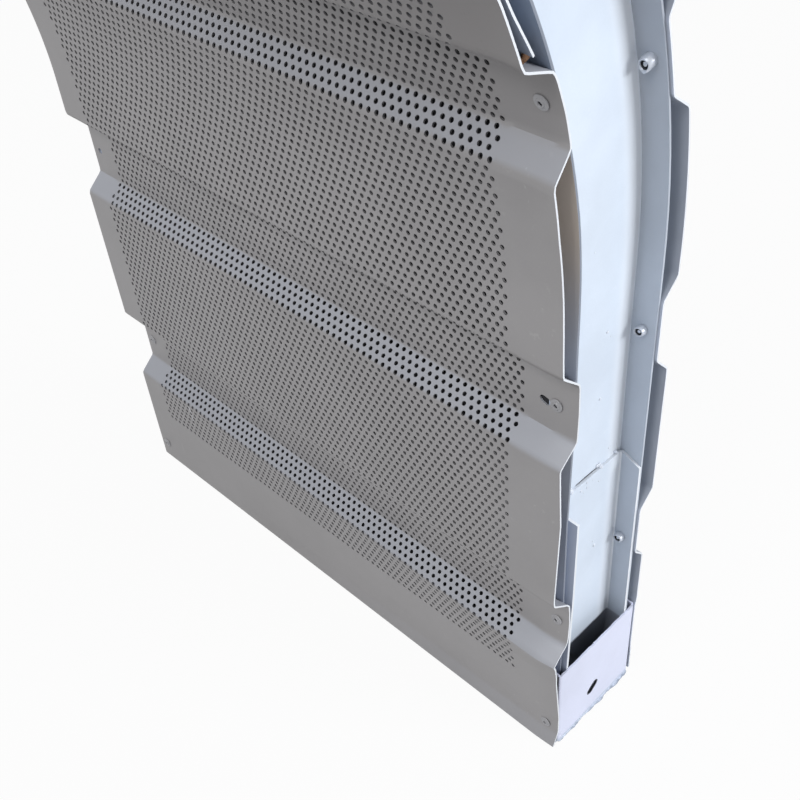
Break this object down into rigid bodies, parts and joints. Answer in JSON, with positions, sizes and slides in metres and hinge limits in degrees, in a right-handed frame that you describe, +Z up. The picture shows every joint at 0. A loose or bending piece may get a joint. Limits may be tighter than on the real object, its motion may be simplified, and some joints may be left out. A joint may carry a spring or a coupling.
{
  "type": "noise barrier section",
  "caption": "Curved section of a sound-absorbing barrier panel: perforated ribbed front sheet, ribbed back sheet, open end channels and a base channel.",
  "frame": {"origin": "centre of the underside of the base channel", "axes": "+X along the panel towards the end with the sleeve in view, +Y towards the plain back, -Y towards the perforated front, +Z up"},
  "size_m": [0.5, 0.3303, 0.826],
  "materials": {
    "front_paint": "satin powder coat, silver grey",
    "back_paint": "satin powder coat, silver grey",
    "channel_paint": "satin powder coat, silver grey",
    "sleeve_paint": "satin powder coat, silver grey",
    "base_paint": "satin powder coat, silver grey",
    "glass_wool": "dark glass fleece over glass wool",
    "rivet": "painted over, satin"
  },
  "bodies": {
    "root": {"base_channel": "base_paint", "base_plate_right": "base_paint", "base_plate_left": "base_paint", "front_sheet_lower": "front_paint", "front_sheet_upper": "front_paint", "back_sheet": "back_paint", "end_web_right": "channel_paint", "end_web_left": "channel_paint", "front_flange_right": "channel_paint", "front_flange_left": "channel_paint", "rear_flange_right": "channel_paint", "rear_flange_left": "channel_paint", "sleeve_right": "sleeve_paint", "sleeve_left": "sleeve_paint", "top_channel": "base_paint", "top_plate_right": "base_paint", "top_plate_left": "base_paint", "absorber_core": "glass_wool", "front_rivet_right_1": "rivet", "front_rivet_right_2": "rivet", "front_rivet_right_3": "rivet", "front_rivet_right_4": "rivet", "front_rivet_right_5": "rivet", "front_rivet_right_6": "rivet", "front_rivet_left_1": "rivet", "front_rivet_left_2": "rivet", "front_rivet_left_4": "rivet", "front_rivet_left_5": "rivet", "front_rivet_left_6": "rivet", "back_rivet_right_1": "rivet", "back_rivet_right_2": "rivet", "back_rivet_right_3": "rivet", "back_rivet_right_4": "rivet", "back_rivet_right_5": "rivet", "back_rivet_right_6": "rivet", "back_rivet_right_7": "rivet", "back_rivet_left_1": "rivet", "back_rivet_left_2": "rivet", "back_rivet_left_3": "rivet", "back_rivet_left_4": "rivet", "back_rivet_left_5": "rivet", "back_rivet_left_6": "rivet", "back_rivet_left_7": "rivet"}
  },
  "joints": []
}
